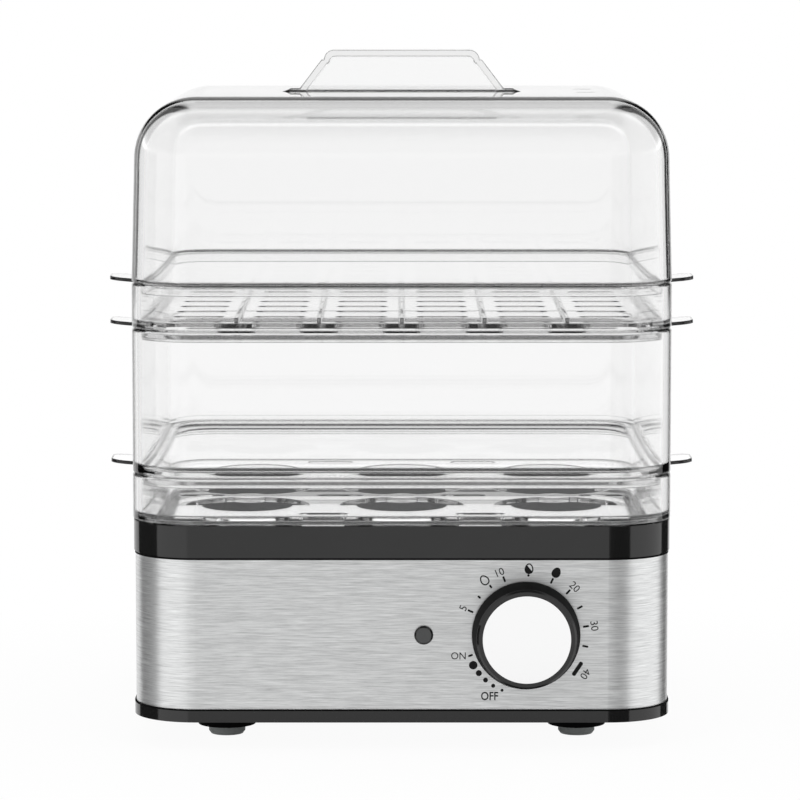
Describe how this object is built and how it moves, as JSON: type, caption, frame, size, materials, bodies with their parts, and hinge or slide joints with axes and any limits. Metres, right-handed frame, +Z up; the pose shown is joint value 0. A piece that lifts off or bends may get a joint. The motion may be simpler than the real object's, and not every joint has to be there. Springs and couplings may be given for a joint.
{
  "type": "electric egg cooker",
  "caption": "Electric egg cooker: brushed-steel heating base with a timer knob, a clear egg tray, a tall open clear tier and a slotted clear tray stacked on it, and a clear rounded lid with a grip.",
  "frame": {"origin": "on the table under the middle of the base", "axes": "+X to the right seen from the front, +Y to the back, +Z up; the knob is on the -Y side"},
  "size_m": [0.2424, 0.2118, 0.2755],
  "materials": {
    "black_plastic": "fine matt black moulding",
    "rubber": "grey rubber",
    "silicone": "red silicone seal",
    "steel": "steel brushed from left to right",
    "zinc": "zinc-plated steel",
    "pan": "dark non-stick coating",
    "aluminium": "bare cast aluminium",
    "sheath": "heat-tinted heater sheath",
    "ceramic": "cream insulating body",
    "brass": "plain brass",
    "bright_disc": "bright polished disc",
    "lens": "smoked lens",
    "neon": "neon bulb",
    "clear": "clear polished moulding"
  },
  "bodies": {
    "base": {"bottom_cover": "black_plastic", "rubber_feet": "rubber", "case_screws": "zinc", "steel_band": "steel", "top_collar": "black_plastic", "pan_gasket": "silicone", "water_pan": "pan", "pan_nuts": "zinc", "heat_spreader": "aluminium", "heating_element": "sheath", "thermostat": "ceramic", "thermostat_screws": "zinc", "thermal_fuse": "ceramic", "fuse_clip": "zinc", "timer_case": "ceramic", "timer_bell": "brass", "timer_screws": "zinc", "lamp_lens": "lens", "lamp_clip": "zinc", "neon_lamp": "neon", "cord_gland": "black_plastic", "gland_nut": "black_plastic", "terminal_block": "ceramic", "terminal_screws": "brass"},
    "knob": {"timer_shaft": "zinc", "knob_body": "black_plastic", "knob_face": "bright_disc"},
    "egg_tray_tier": {"egg_tray": "clear"},
    "lower_tray_tier": {"lower_tray": "clear"},
    "upper_tray_tier": {"upper_tray": "clear"},
    "lid_tier": {"lid": "clear"}
  },
  "joints": [
    {"name": "timer_turn", "type": "hinge", "parent": "base", "child": "knob", "pos_m": [0.0493, -0.095, 0.0462], "axis": [0, 1, 0], "range_deg": [0, 279]},
    {"name": "egg_tray_lift", "type": "slide", "parent": "base", "child": "egg_tray_tier", "axis": [0, 0, 1], "range_m": [0, 0.07]},
    {"name": "lower_tray_lift", "type": "slide", "parent": "egg_tray_tier", "child": "lower_tray_tier", "axis": [0, 0, 1], "range_m": [0, 0.08]},
    {"name": "upper_tray_lift", "type": "slide", "parent": "lower_tray_tier", "child": "upper_tray_tier", "axis": [0, 0, 1], "range_m": [0, 0.08]},
    {"name": "lid_lift", "type": "slide", "parent": "upper_tray_tier", "child": "lid_tier", "axis": [0, 0, 1], "range_m": [0, 0.1]}
  ]
}
